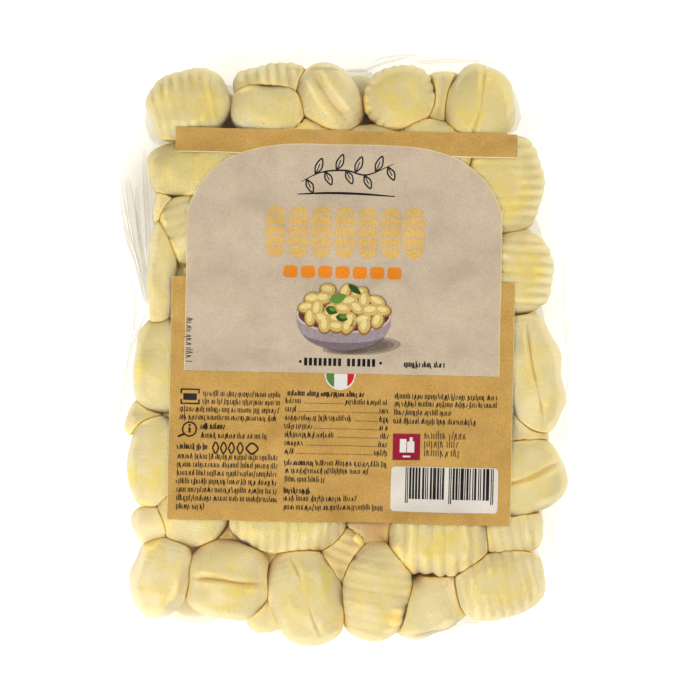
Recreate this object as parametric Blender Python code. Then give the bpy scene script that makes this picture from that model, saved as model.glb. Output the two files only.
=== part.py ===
"""A clear, vacuum-sealed film pouch of potato gnocchi, lying on its back.

Metres, +Z up. +X runs across the pouch, +Y along it, and +Z out of its front.
The origin is at the middle of its footprint, on the surface it lies on.
"""

import math
import random

import bpy
import numpy as np

# The pouch: two sheets of film, sealed together all the way round.
FILM_WIDTH = 0.1445
FILM_LENGTH = 0.1975
TOP_EDGE_FALL = 0.003  # the top edge falls this far from left to right
BOTTOM_EDGE_RISE = 0.0075  # the bottom edge rises this far from left to right
TOP_EDGE_REACH = 0.012  # above the block, the fall grows to its full size over this length
BOTTOM_EDGE_REACH = 0.010  # and so does the rise, below the block
SIDE_SHIFT = 0.0025  # the bottom edge sits this far to the right of the top edge
MARGIN_THICKNESS = 0.0012
MARGIN_HEIGHT = 0.0125  # middle of the flat margin above the surface
MARGIN_WAVE = 0.0012  # the margin waves up and down by this much
MARGIN_WAVE_LENGTH = 0.052
MARGIN_WAVE_PHASE = 0.6

# Vacuum draws the left edge in to a waist.
WAIST_DEPTH = 0.0105
WAIST_Y = 0.010
WAIST_HALF_LENGTH = 0.030
WAIST_PUSH = 0.4  # share of the waist that moves the pieces beside it
WAIST_REACH = 0.30  # share of the width, from the left edge, that the waist draws in

# The block of gnocchi inside, in two layers.
PACK_THICKNESS = 0.033
BLOCK_WIDTH = 0.127
BLOCK_LENGTH = 0.168
BLOCK_Y = -0.0035  # middle of the block along the pouch
ROWS = 8
PIECES_IN_ROW = 5
GNOCCO_LENGTH = 0.029
GNOCCO_WIDTH = 0.0205
GNOCCO_HEIGHT = 0.0185
LENGTH_SPREAD = 0.18  # pieces differ in length by this share either way
WIDTH_SPREAD = 0.07
PLACE_SPREAD = 0.0022  # and lie this far off their row and column
MOST_TURN = math.radians(38)
HEIGHT_SPREAD = 0.0020  # and stand up to this much lower
SQUARENESS = 2.6  # 2 is a plain ellipse; more is flatter, as film presses it
BACK_PRESS = 0.0017  # how far the surface below flattens the back pieces
STAGGER = 0.35  # rows are shifted by this share of a piece, the back layer the other way
SEED = 11

# How the film is drawn down between the pieces.
SUCTION = 0.00100
DRAPE_STEPS = 60

# Mesh stations: few across the flat margins, close together over the block.
BLOCK_COLUMNS = 32
BLOCK_ROWS = 42
MARGIN_CELLS = 2

FILM_COLOUR = (0.86, 0.78, 0.56, 1.0)
FILM_ROUGHNESS = 0.35
SHARP_EDGE = math.radians(60)


def clear_scene():
    for thing in list(bpy.data.objects):
        bpy.data.objects.remove(thing, do_unlink=True)


def stations(low, block_low, block_high, high, block_cells):
    """Coordinates from low to high, MARGIN_CELLS cells in each margin."""
    near = np.linspace(low, block_low, MARGIN_CELLS, endpoint=False)
    block = np.linspace(block_low, block_high, block_cells + 1)
    far = np.linspace(high, block_high, MARGIN_CELLS, endpoint=False)[::-1]
    return np.concatenate([near, block, far])


def waist(y):
    """How far the left edge is drawn in at a height y."""
    return WAIST_DEPTH * np.exp(-(((y - WAIST_Y) / WAIST_HALF_LENGTH) ** 2))


def film_plan():
    """X and Y of every mesh point, as seen from the front."""
    half_width = FILM_WIDTH / 2
    half_length = FILM_LENGTH / 2
    across = stations(
        -half_width, -BLOCK_WIDTH / 2, BLOCK_WIDTH / 2, half_width, BLOCK_COLUMNS
    )
    along = stations(
        -half_length,
        BLOCK_Y - BLOCK_LENGTH / 2,
        BLOCK_Y + BLOCK_LENGTH / 2,
        half_length,
        BLOCK_ROWS,
    )
    x, y = np.meshgrid(across, along)
    from_left = (x + half_width) / FILM_WIDTH
    from_bottom = (y + half_length) / FILM_LENGTH
    # Only the outer part of the film follows its slanting edges.
    top_share = np.clip((y - (BLOCK_Y + BLOCK_LENGTH / 2)) / TOP_EDGE_REACH, 0, 1)
    below = (BLOCK_Y - BLOCK_LENGTH / 2) - y
    bottom_share = np.clip(below / BOTTOM_EDGE_REACH, 0, 1)
    y = y - TOP_EDGE_FALL * from_left * top_share
    y = y + BOTTOM_EDGE_RISE * from_left * bottom_share
    left_share = np.clip(1 - from_left / WAIST_REACH, 0, 1)
    x = x + waist(y) * left_share
    x = x + SIDE_SHIFT * (0.5 - from_bottom)
    return x, y


def margin_height(x, y):
    """Height of the margin's middle: it hangs in shallow waves."""
    turn = 2 * math.pi / MARGIN_WAVE_LENGTH
    wave = np.sin(turn * x + MARGIN_WAVE_PHASE) * np.cos(turn * y)
    return MARGIN_HEIGHT + MARGIN_WAVE * wave


def gnocchi_layer(rng, stagger):
    """One layer: (x, y, turn, half length, half width, lift) of each piece."""
    pieces = []
    row_pitch = BLOCK_LENGTH / ROWS
    column_pitch = BLOCK_WIDTH / PIECES_IN_ROW
    for row in range(ROWS):
        shift = stagger * column_pitch * (0.5 if row % 2 else -0.5)
        for column in range(PIECES_IN_ROW):
            x = (column - (PIECES_IN_ROW - 1) / 2) * column_pitch + shift
            y = BLOCK_Y + (row - (ROWS - 1) / 2) * row_pitch
            x += rng.uniform(-PLACE_SPREAD, PLACE_SPREAD)
            y += rng.uniform(-PLACE_SPREAD, PLACE_SPREAD)
            half_length = GNOCCO_LENGTH / 2 * (1 + LENGTH_SPREAD * rng.uniform(-1, 1))
            half_width = GNOCCO_WIDTH / 2 * (1 + WIDTH_SPREAD * rng.uniform(-1, 1))
            # A piece at the left edge is pushed in with the waist.
            if column == 0:
                x += float(waist(y)) * WAIST_PUSH
            # The block's outer pieces stay inside the film.
            reach = BLOCK_WIDTH / 2 - half_length
            x = max(-reach, min(reach, x))
            turn = rng.uniform(-MOST_TURN, MOST_TURN)
            lift = rng.uniform(-HEIGHT_SPREAD, 0)
            pieces.append((x, y, turn, half_length, half_width, lift))
    return pieces


def layer_relief(x, y, pieces):
    """How far a layer's pieces stand out from their mid height, 0 to 1, and their lift."""
    relief = np.full(x.shape, -1.0)
    for piece_x, piece_y, turn, half_length, half_width, lift in pieces:
        along = (x - piece_x) * math.cos(turn) + (y - piece_y) * math.sin(turn)
        beside = (y - piece_y) * math.cos(turn) - (x - piece_x) * math.sin(turn)
        reach = (
            np.abs(along / half_length) ** SQUARENESS
            + np.abs(beside / half_width) ** SQUARENESS
        )
        crown = np.clip(1 - reach, 0, 1) ** (1 / SQUARENESS)
        height = np.where(reach < 1, crown + lift / (GNOCCO_HEIGHT / 2), -1.0)
        relief = np.maximum(relief, height)
    return relief


def drape(support, floor):
    """Film drawn over the supports: it touches them, and sags between them."""
    film = np.maximum(support, floor)
    for _ in range(DRAPE_STEPS):
        mean = film.copy()
        mean[1:-1, 1:-1] = (
            film[:-2, 1:-1] + film[2:, 1:-1] + film[1:-1, :-2] + film[1:-1, 2:]
        ) / 4 - SUCTION
        film = np.maximum(np.maximum(support, floor), mean)
        film[[0, -1], :] = floor[[0, -1], :]
        film[:, [0, -1]] = floor[:, [0, -1]]
    return film


def pouch_heights(x, y):
    """Heights of the front and the back film at every mesh point."""
    rng = random.Random(SEED)
    front_pieces = gnocchi_layer(rng, stagger=STAGGER)
    back_pieces = gnocchi_layer(rng, stagger=-STAGGER)
    middle = margin_height(x, y)
    half_height = GNOCCO_HEIGHT / 2

    front_relief = layer_relief(x, y, front_pieces)
    front_level = PACK_THICKNESS - half_height
    front_support = np.where(
        front_relief > -1, front_level + half_height * front_relief, -1.0
    )
    front = drape(front_support, middle + MARGIN_THICKNESS / 2)

    back_relief = layer_relief(x, y, back_pieces)
    back_level = half_height - BACK_PRESS
    back_support = np.where(
        back_relief > -1, half_height * back_relief - back_level, -1.0
    )
    back = -drape(back_support, -(middle - MARGIN_THICKNESS / 2))
    # The surface that the pouch lies on presses its lowest places flat.
    return front, np.maximum(back, 0.0)


def film_material():
    material = bpy.data.materials.new("pouch_film")
    material.use_nodes = True
    shader = material.node_tree.nodes["Principled BSDF"]
    shader.inputs["Base Color"].default_value = FILM_COLOUR
    shader.inputs["Roughness"].default_value = FILM_ROUGHNESS
    shader.inputs["Metallic"].default_value = 0.0
    return material


def ring(rows, columns):
    """Indices of a grid's outer points, once round, seen from the front."""
    count = rows * columns
    bottom = list(range(0, columns))
    right = list(range(2 * columns - 1, count, columns))
    top = list(range(count - 2, count - columns - 1, -1))
    left = list(range(count - 2 * columns, 0, -columns))
    return bottom + right + top + left


def build_pouch():
    x, y = film_plan()
    front, back = pouch_heights(x, y)
    rows, columns = x.shape
    count = rows * columns
    # The box round the pouch is centred on the origin.
    x = x - (x.min() + x.max()) / 2
    y = y - (y.min() + y.max()) / 2
    points = [
        (float(a), float(b), float(c))
        for heights in (front, back)
        for a, b, c in zip(x.ravel(), y.ravel(), heights.ravel())
    ]
    faces = []
    for row in range(rows - 1):
        for column in range(columns - 1):
            a = row * columns + column
            b, c, d = a + 1, a + columns + 1, a + columns
            faces.append((a, b, c, d))
            faces.append((count + d, count + c, count + b, count + a))
    edge = ring(rows, columns)
    for a, b in zip(edge, edge[1:] + edge[:1]):
        faces.append((b, a, count + a, count + b))

    mesh = bpy.data.meshes.new("gnocchi_pack")
    mesh.from_pydata(points, [], faces)
    mesh.validate()
    mesh.shade_smooth()
    mesh.set_sharp_from_angle(angle=SHARP_EDGE)
    pouch = bpy.data.objects.new("gnocchi_pack", mesh)
    pouch.data.materials.append(film_material())
    bpy.context.collection.objects.link(pouch)
    return pouch


clear_scene()
build_pouch()
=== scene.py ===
import math
import random

import bmesh
import bpy
import numpy as np
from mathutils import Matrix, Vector, noise
from mathutils.bvhtree import BVHTree


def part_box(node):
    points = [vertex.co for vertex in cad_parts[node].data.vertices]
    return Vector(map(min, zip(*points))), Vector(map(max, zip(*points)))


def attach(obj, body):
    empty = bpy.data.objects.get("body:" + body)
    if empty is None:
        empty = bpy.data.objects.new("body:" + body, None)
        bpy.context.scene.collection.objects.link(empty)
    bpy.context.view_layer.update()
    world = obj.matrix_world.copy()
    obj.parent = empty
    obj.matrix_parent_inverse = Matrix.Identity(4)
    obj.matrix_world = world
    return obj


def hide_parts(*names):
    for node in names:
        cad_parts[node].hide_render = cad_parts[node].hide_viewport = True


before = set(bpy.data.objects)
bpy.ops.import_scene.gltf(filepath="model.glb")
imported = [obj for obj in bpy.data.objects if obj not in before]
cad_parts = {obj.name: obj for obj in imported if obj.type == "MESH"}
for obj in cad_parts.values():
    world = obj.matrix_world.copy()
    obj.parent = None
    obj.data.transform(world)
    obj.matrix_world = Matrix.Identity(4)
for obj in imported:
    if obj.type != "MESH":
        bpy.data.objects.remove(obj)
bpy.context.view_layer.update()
packLow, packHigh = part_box("gnocchi_pack")

# Lengths below are in millimetres, in the pack's own frame, and turn to metres only in a mesh.
mm = 0.001
filmWidth = (packHigh.x - packLow.x) / mm
filmLength = (packHigh.y - packLow.y) / mm
packThickness = (packHigh.z - packLow.z) / mm
scene = bpy.context.scene


def newObject(name, points, faces, material):
    # points in millimetres become a mesh object that rides on the pack
    mesh = bpy.data.meshes.new(name)
    mesh.from_pydata((np.asarray(points) * mm).tolist(), [], faces)
    mesh.validate()
    mesh.shade_smooth()
    mesh.materials.append(material)
    obj = bpy.data.objects.new(name, mesh)
    scene.collection.objects.link(obj)
    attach(obj, "root")
    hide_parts("gnocchi_pack")
    return obj


def pointColors(obj, name, colors):
    # a colour for each point of the mesh, which its material reads by this name
    layer = obj.data.color_attributes.new(name, "FLOAT_COLOR", "POINT")
    layer.data.foreach_set("color", colors.astype(np.float32).ravel())


# Shader helpers

def emptyMaterial(name):
    material = bpy.data.materials.new(name)
    material.use_nodes = True
    material.node_tree.nodes.clear()
    output = material.node_tree.nodes.new("ShaderNodeOutputMaterial")
    return material, material.node_tree, output


def addNode(tree, kind, inputs=None, **settings):
    node = tree.nodes.new(kind)
    for key, value in settings.items():
        setattr(node, key, value)
    for key, value in (inputs or {}).items():
        if isinstance(value, bpy.types.NodeSocket):
            tree.links.new(value, node.inputs[key])
        else:
            node.inputs[key].default_value = value
    return node


def mixColors(tree, share, first, second):
    inputs = {0: share, 6: first, 7: second}
    return addNode(tree, "ShaderNodeMix", inputs, data_type="RGBA").outputs[2]


def mixShaders(tree, share, first, second):
    inputs = {0: share, 1: first.outputs[0], 2: second.outputs[0]}
    return addNode(tree, "ShaderNodeMixShader", inputs)


def mathNode(tree, operation, *values):
    return addNode(tree, "ShaderNodeMath", dict(enumerate(values)), operation=operation).outputs[0]


def rangeNode(tree, value, low, high, newLow=0.0, newHigh=1.0):
    inputs = {"Value": value, "From Min": low, "From Max": high, "To Min": newLow, "To Max": newHigh}
    return addNode(tree, "ShaderNodeMapRange", inputs).outputs[0]


def noiseNode(tree, place, scale, detail, roughness):
    inputs = {"Vector": place, "Scale": scale, "Detail": detail, "Roughness": roughness}
    return addNode(tree, "ShaderNodeTexNoise", inputs)


def bumpNode(tree, height, strength, distance):
    inputs = {"Height": height, "Strength": strength, "Distance": distance}
    return addNode(tree, "ShaderNodeBump", inputs).outputs["Normal"]


def objectPlace(tree):
    return addNode(tree, "ShaderNodeTexCoord").outputs["Object"]


def addPrincipled(tree, output, inputs):
    shader = addNode(tree, "ShaderNodeBsdfPrincipled", inputs)
    tree.links.new(shader.outputs[0], output.inputs["Surface"])


def linear(red, green, blue):
    # screen values 0 to 255 as linear light
    out = []
    for value in (red, green, blue):
        value /= 255
        out.append(value / 12.92 if value <= 0.04045 else ((value + 0.055) / 1.055) ** 2.4)
    return (*out, 1.0)


def effectGroup(name, inputs, outputs):
    tree = bpy.data.node_groups.new(name, "ShaderNodeTree")
    for label, kind, value in inputs:
        socket = tree.interface.new_socket(name=label, in_out="INPUT", socket_type=kind)
        socket.default_value = value
    for label, kind in outputs:
        tree.interface.new_socket(name=label, in_out="OUTPUT", socket_type=kind)
    return tree, tree.nodes.new("NodeGroupInput"), tree.nodes.new("NodeGroupOutput")


def mottleGroup():
    # a fine grain over a soft, wider change of tone, used by the dough and the inks
    tree, inside, outside = effectGroup(
        "softMottle",
        [
            ("Color", "NodeSocketColor", (0.8, 0.7, 0.5, 1)),
            ("Grain Size", "NodeSocketFloat", 0.5),
            ("Grain", "NodeSocketFloat", 0.1),
            ("Patch Size", "NodeSocketFloat", 8.0),
            ("Patches", "NodeSocketFloat", 0.1),
        ],
        [("Color", "NodeSocketColor"), ("Grain", "NodeSocketFloat")],
    )
    place = objectPlace(tree)
    value, tones = 1.0, []
    for size, amount, detail in (("Grain Size", "Grain", 3.0), ("Patch Size", "Patches", 2.0)):
        scale = mathNode(tree, "DIVIDE", 1000.0, inside.outputs[size])
        tone = noiseNode(tree, place, scale, detail, 0.6).outputs["Fac"]
        centred = mathNode(tree, "SUBTRACT", tone, 0.5)
        value = mathNode(tree, "MULTIPLY_ADD", centred, inside.outputs[amount], value)
        tones.append(tone)
    inputs = {0: inside.outputs["Color"], "Scale": value}
    scaled = addNode(tree, "ShaderNodeVectorMath", inputs, operation="SCALE")
    tree.links.new(scaled.outputs[0], outside.inputs["Color"])
    tree.links.new(tones[0], outside.inputs["Grain"])
    return tree


softMottle = mottleGroup()


def useMottle(tree, color, grainSize, grain, patchSize, patches):
    inputs = {
        "Color": color,
        "Grain Size": grainSize,
        "Grain": grain,
        "Patch Size": patchSize,
        "Patches": patches,
    }
    return addNode(tree, "ShaderNodeGroup", inputs, node_tree=softMottle)


# Potato dough

dough = {
    "dim": (184, 170, 116),
    "pale": (203, 190, 152),
    # wet dough where the film presses; the paler slopes around it stand partly for painted light shining
    # through the dough
    "pressedToneOverLitSlopes": (196, 178, 104),
    # painted shade: the warm golden colour of the crevices between pieces
    "creviceShade": (226, 192, 108),
    # painted shade: the warm brown of the deep gaps between pieces
    "deep": (188, 142, 92),
    "speck": (120, 96, 52),
    "grainSize": 0.55,
    "grain": 0.3,
    "patchSize": 7.0,
    "patches": 0.16,
    # scales of the noises and the flecks, to a metre
    "blotches": 160.0,
    "flecks": 95.0,
    "fleckEdge": (0.018, 0.032),
    "fineGrain": 420.0,
    # between these values of the blotch noise a pressed place turns wet, and a rolled line shows
    "wetFrom": (0.38, 0.62),
    "linesFrom": (0.45, 0.65),
    "lineScale": 0.19,
    "lineShare": 0.35,
    "reliefStrength": 0.6,
    "reliefDepth": 0.0008,
    "subsurface": 0.8,
    "scatterDepth": 4.5,
    "scatterColor": (1.0, 0.72, 0.35),
    "roughness": 0.5,
    "specular": 0.15,
}


def doughMaterial():
    material, tree, output = emptyMaterial("potatoDough")
    tone = addNode(tree, "ShaderNodeAttribute", attribute_name="tone")
    split = addNode(tree, "ShaderNodeSeparateColor", {"Color": tone.outputs["Color"]})
    creviceShade, pressedToneOverLitSlopes, gapShade = split.outputs[0], split.outputs[1], split.outputs[2]
    place = objectPlace(tree)
    blotch = noiseNode(tree, place, dough["blotches"], 3.0, 0.55)
    wet = mathNode(tree, "MULTIPLY", rangeNode(tree, blotch.outputs["Fac"], *dough["wetFrom"]), pressedToneOverLitSlopes)
    color = mixColors(tree, tone.outputs["Alpha"], linear(*dough["dim"]), linear(*dough["pale"]))
    # the colours laid over the base: the wet pressed tone, partly painted light against the paler slopes,
    # then painted shade in the deep gaps and in the crevices
    for share, wetAndShadeName in ((wet, "pressedToneOverLitSlopes"), (gapShade, "deep"), (creviceShade, "creviceShade")):
        color = mixColors(tree, share, color, linear(*dough[wetAndShadeName]))
    # a few tiny dark flecks of potato skin
    cells = addNode(tree, "ShaderNodeTexVoronoi", {"Vector": place, "Scale": dough["flecks"]})
    fleck = rangeNode(tree, cells.outputs["Distance"], *dough["fleckEdge"], 1.0, 0.0)
    color = mixColors(tree, fleck, color, linear(*dough["speck"]))
    mottled = useMottle(
        tree, color, dough["grainSize"], dough["grain"], dough["patchSize"], dough["patches"]
    )
    grain = noiseNode(tree, place, dough["fineGrain"], 6.0, 0.68)
    # faint lines from the board it was rolled on, broken up by noise
    rolled = addNode(tree, "ShaderNodeAttribute", attribute_name="rolled").outputs["Vector"]
    inputs = {
        "Vector": rolled,
        "Scale": dough["lineScale"],
        "Distortion": 2.2,
        "Detail": 2.0,
        "Detail Scale": 1.2,
    }
    lines = addNode(tree, "ShaderNodeTexWave", inputs, wave_profile="SIN")
    lineMask = rangeNode(tree, blotch.outputs["Color"], *dough["linesFrom"])
    line = mathNode(tree, "MULTIPLY", lines.outputs["Fac"], lineMask)
    relief = mathNode(tree, "MULTIPLY_ADD", line, dough["lineShare"], grain.outputs["Fac"])
    inputs = {
        "Base Color": mottled.outputs["Color"],
        "Roughness": dough["roughness"],
        "Subsurface Weight": dough["subsurface"],
        "Subsurface Radius": dough["scatterColor"],
        "Subsurface Scale": dough["scatterDepth"] * mm,
        "Specular IOR Level": dough["specular"],
        "Normal": bumpNode(tree, relief, dough["reliefStrength"], dough["reliefDepth"]),
    }
    addPrincipled(tree, output, inputs)
    return material


# Gnocchi

gnocchi = {
    "topPlane": packThickness - 0.75,
    "bottomPlane": 0.32,
    "pressSoftness": 0.22,
    "thickest": 18.4,
    "thinnest": 10.5,
    "roundness": 0.95,
    "squeeze": 0.5,
    # squareness of a piece across its girth, and along it for each form
    "barrel": 2.2,
    "ends": {"face": 2.0, "curled": 2.2, "creased": 2.3},
    "plainEnds": 2.5,
    # pitch and height of the rolled ridges, for each form that has them
    "ridges": {"ridged": (3.0, 0.5), "scalloped": (3.9, 0.85), "faint": (2.9, 0.28)},
    "grooveOnTop": 0.4,
    # where two pieces meet, this share of the valley is filled, and a thin line stays
    "valleyFill": 0.18,
    "valleyReach": 0.3,
    "lineDepth": 0.08,
    "lineReach": 0.05,
    # how deep and wide the slit is, and the strength of the painted shade inside it, for each form that
    # has one
    "seams": {"slit": (2.2, 0.5, 0.9), "creased": (0.9, 0.34, 0.4), "curled": (1.6, 1.1, 0.35)},
    "lump": 0.34,
    "gap": 0.012,
    # how strongly a piece that lies higher keeps its own outline against a lower one
    "precedence": 3.0,
    "mostPrecedence": 6.0,
    # mesh cells across each of a piece's six sides
    "cells": {
        "scalloped": 34,
        "slit": 36,
        "creased": 36,
        "curled": 30,
        "ridged": 34,
        "faint": 32,
        "face": 34,
        "smooth": 24,
    },
    "kinds": {
        "ridged": "gnocchiRidged",
        "scalloped": "gnocchiRidged",
        "faint": "gnocchiRidged",
        "slit": "gnocchiSeamed",
        "creased": "gnocchiSeamed",
    },
    "hiddenCells": 17,
    "hiddenLength": (23, 28),
    "hiddenWidth": (18.5, 22),
    "backCells": 15,
    "backRows": 8,
    "backColumns": 5,
    "backY": -0.8,
    "backPitch": 19.5,
    "backColumnPitch": 22.6,
    "backStagger": 2.2,
    "backSide": 56.0,
    "backLength": (24.5, 29),
    "backWidth": (18.5, 21.0),
    # round the print: x, y, how far the top lies below the film's top, length, width, turn in
    # degrees, form, and how pale it is from 0 to 1
    "outer": [
        # along the top edge, from the left
        (-45.4, 69.6, 0.2, 24.0, 20.5, 12, "faint", 0.35),
        (-22.4, 67.8, 0.3, 21.5, 16.5, -4, "smooth", 0.5),
        (-20.5, 75.2, 4.5, 23.0, 14.0, 6, "ridged", 0.5),
        (-4.6, 71.2, 0.8, 22.0, 18.0, -52, "curled", 0.6),
        (-10.8, 61.0, 3.0, 13.0, 11.0, 0, "smooth", 0.5),
        (15.9, 71.7, 0.0, 21.8, 20.4, 35, "face", 0.3),
        (27.6, 70.0, 6.0, 20.0, 14.0, 78, "smooth", 0.4),
        (39.2, 69.2, 0.0, 25.0, 20.6, 77, "creased", 0.35),
        (35.5, 55.5, 2.6, 15.0, 10.0, 8, "smooth", 1.0),
        # down the left edge
        (-42.6, 51.0, 0.5, 30.0, 17.8, 2, "smooth", 0.0),
        (-52.8, 39.5, 5.5, 13.0, 7.0, 84, "smooth", 0.5),
        (-44.6, 34.0, 0.8, 20.0, 18.6, -72, "faint", 0.45),
        (-53.3, 20.6, 2.2, 32.0, 8.4, 89, "smooth", 0.5),
        (-47.0, 19.6, 8.5, 14.0, 12.0, 80, "smooth", 0.2),
        (-52.6, -5.8, 0.6, 28.5, 18.0, 86, "smooth", 0.35),
        (-58.6, -22.0, 6.0, 12.0, 11.0, 60, "smooth", 0.6),
        (-49.6, -20.6, 8.5, 13.0, 11.0, 10, "smooth", 0.2),
        (-54.2, -34.4, 0.8, 27.5, 18.0, 92, "smooth", 0.6),
        (-54.6, -51.6, 2.4, 14.0, 12.5, 20, "smooth", 0.9),
        # along the bottom edge
        (-53.2, -66.8, 0.2, 24.0, 17.0, 76, "smooth", 0.95),
        (-34.0, -68.2, 0.6, 24.8, 23.6, -3, "slit", 0.55),
        (-21.6, -78.4, 7.5, 15.0, 11.0, 10, "smooth", 0.6),
        (-11.4, -72.8, 0.1, 29.5, 21.6, 112, "creased", 0.55),
        (9.0, -71.8, 0.5, 28.5, 20.6, 80, "faint", 0.55),
        (24.8, -75.0, 5.0, 26.0, 19.0, 28, "smooth", 0.6),
        (45.0, -69.4, 0.3, 26.5, 20.4, 12, "faint", 0.55),
        # the row above it, half under the print
        (-44.4, -48.6, 0.3, 22.0, 20.0, 20, "smooth", 0.6),
        (-33.5, -58.5, 8.5, 17.0, 15.0, 0, "smooth", 0.2),
        (-16.6, -49.8, 0.0, 34.5, 21.5, -2, "ridged", 0.5),
        (-22.4, -60.2, 8.5, 13.0, 11.0, 0, "smooth", 0.2),
        (-1.0, -61.6, 5.5, 18.0, 13.0, 68, "ridged", 0.4),
        (27.2, -56.4, 0.0, 29.5, 22.0, 1, "scalloped", 0.5),
        (7.4, -54.2, 8.5, 20.0, 14.0, 10, "smooth", 0.2),
        (48.0, -54.2, 3.4, 20.0, 15.0, 12, "faint", 0.55),
        # down the right edge
        (45.4, 46.8, 0.1, 29.4, 24.2, 90, "ridged", 0.35),
        (50.2, 20.8, 0.3, 24.6, 20.6, 86, "ridged", 0.5),
        (54.6, -8.0, 0.5, 35.6, 16.6, 99, "creased", 0.65),
        (52.4, -25.6, 5.0, 14.0, 12.0, 0, "smooth", 0.7),
        (50.8, -38.6, 0.2, 27.0, 22.6, 21, "slit", 0.5),
    ],
    # painted crevice shade, warm and golden, on a point this close to a neighbour: strength, and reach in
    # gauges
    "creviceShading": ((0.6, 0.12), (0.3, 0.4)),
    # painted shade of the deep gaps between pieces: the area it keeps to, where it starts below the top,
    # and how far down it takes to grow
    "gapShadeArea": (51, 74, 0),
    "gapShadeFrom": 3.6,
    "gapShadeOver": 5.5,
    "gapShadeStrength": 0.95,
    "wetStrength": 1.25,
    "wetAbove": 24,
    # places that the film has pressed smooth and wet: x, y, radius
    "wetPatches": [
        (15.9, 71.2, 7.0),
        (-41.0, 69.6, 5.6),
        (-58.0, -38.5, 5.5),
        (36.6, 66.0, 5.5),
        (46.0, 43.0, 7.0),
        (27.0, -54.0, 8.0),
        (-31.0, -72.5, 6.0),
        (-8.5, -66.5, 6.5),
        (52.0, 22.0, 6.0),
        (-56.0, -8.0, 5.0),
    ],
    # behind the print: x positions for each row's y
    "hidden": {
        56.0: (-14.0, 9.0, 25.0),
        35.0: (-26.0, -2.0, 21.0),
        13.5: (-36.0, -12.0, 12.0, 33.0),
        -8.5: (-32.0, -8.0, 16.0, 37.0),
        -29.5: (-37.0, -13.0, 11.0, 34.0),
    },
}


def makePiece(x, y, top, length, width, turn, form, pale, rng, cells=None):
    height = min(max(width * gnocchi["roundness"], gnocchi["thinnest"]), gnocchi["thickest"])
    lean = rng.uniform(-0.06, 0.06)
    angle = math.radians(turn)
    along = np.array([math.cos(angle) * math.cos(lean), math.sin(angle) * math.cos(lean), math.sin(lean)])
    beside = np.array([-math.sin(angle), math.cos(angle), 0.0])
    return {
        "centre": np.array([x, y, top - height / 2]),
        "radii": np.array([length, width, height]) / 2,
        "axes": np.stack([along, beside, np.cross(along, beside)], axis=1),
        "form": form,
        "ends": gnocchi["ends"].get(form, gnocchi["plainEnds"]),
        "pale": pale,
        "cells": cells or gnocchi["cells"][form],
        "seed": rng.randrange(10**6),
        "kind": gnocchi["kinds"].get(form, "gnocchiSmooth"),
        "top": top,
    }


def allPieces():
    rng = random.Random(23)
    top = gnocchi["topPlane"] + gnocchi["squeeze"]
    pieces = []
    for x, y, drop, *rest in gnocchi["outer"]:
        pieces.append(makePiece(x, y, top - drop, *rest, rng))
    for y, places in gnocchi["hidden"].items():
        for x in places:
            size = rng.uniform(*gnocchi["hiddenLength"]), rng.uniform(*gnocchi["hiddenWidth"])
            spot = x + rng.uniform(-1.5, 1.5), y + rng.uniform(-1.5, 1.5)
            turn = rng.choice((0, 0, 90, 30, -35, 60)) + rng.uniform(-15, 15)
            drop = rng.uniform(0, 1.2)
            piece = makePiece(*spot, top - drop, *size, turn, "smooth", 0.5, rng, gnocchi["hiddenCells"])
            piece["kind"] = "gnocchiUnderPrint"
            pieces.append(piece)
    # the back layer, brick-laid, pressed flat by what the pack lies on
    rows, columns = gnocchi["backRows"], gnocchi["backColumns"]
    for row in range(rows):
        y = gnocchi["backY"] + (row - (rows - 1) / 2) * gnocchi["backPitch"]
        for column in range(columns):
            x = (column - (columns - 1) / 2) * gnocchi["backColumnPitch"]
            x += gnocchi["backStagger"] if row % 2 else -gnocchi["backStagger"]
            size = rng.uniform(*gnocchi["backLength"]), rng.uniform(*gnocchi["backWidth"])
            left = size[0] / 2 - gnocchi["backSide"] + 0.6 * float(waist(y))
            right = gnocchi["backSide"] - size[0] / 2 - (6 if y > 55 else 0)
            x = max(left, min(right, x + rng.uniform(-1.5, 1.5)))
            turn = rng.uniform(-24, 24) + (90 if rng.random() < 0.2 and 0 < column < 4 else 0)
            height = min(size[1] * gnocchi["roundness"], gnocchi["thickest"])
            form = rng.choice(("smooth", "ridged", "faint"))
            spot = x, y + rng.uniform(-1.2, 1.2), height - 0.5 + rng.uniform(0, 1.0)
            piece = makePiece(*spot, *size, turn, form, rng.uniform(0.3, 0.7), rng, gnocchi["backCells"])
            piece["kind"] = "gnocchiBack"
            pieces.append(piece)
    return pieces


def cubeSphere(cells, gather):
    # six grids on a cube pushed out to a sphere, with lines packed towards each grid's middle
    steps = np.linspace(-1, 1, cells + 1)
    steps = np.tan(np.sign(steps) * np.abs(steps) ** gather * math.pi / 4)
    points, quads = [], []
    for axis in range(3):
        for side in (-1, 1):
            u, v = np.meshgrid(steps, steps, indexing="ij")
            patch = np.empty((cells + 1, cells + 1, 3))
            patch[..., axis] = side
            patch[..., (axis + 1) % 3] = u
            patch[..., (axis + 2) % 3] = v
            start = len(points) * (cells + 1) ** 2
            points.append(patch.reshape(-1, 3))
            i, j = np.meshgrid(range(cells), range(cells), indexing="ij")
            first = start + (i * (cells + 1) + j).ravel()
            ring = [first, first + cells + 1, first + cells + 2, first + 1]
            quads.append(np.stack(ring if side > 0 else ring[::-1], axis=1))
    points = np.concatenate(points)
    rounded = np.round(points, 5) + 0.0
    _, kept, index = np.unique(rounded, axis=0, return_index=True, return_inverse=True)
    directions = points[kept]
    directions /= np.linalg.norm(directions, axis=1)[:, None]
    return directions, index.reshape(-1)[np.concatenate(quads)]


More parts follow.
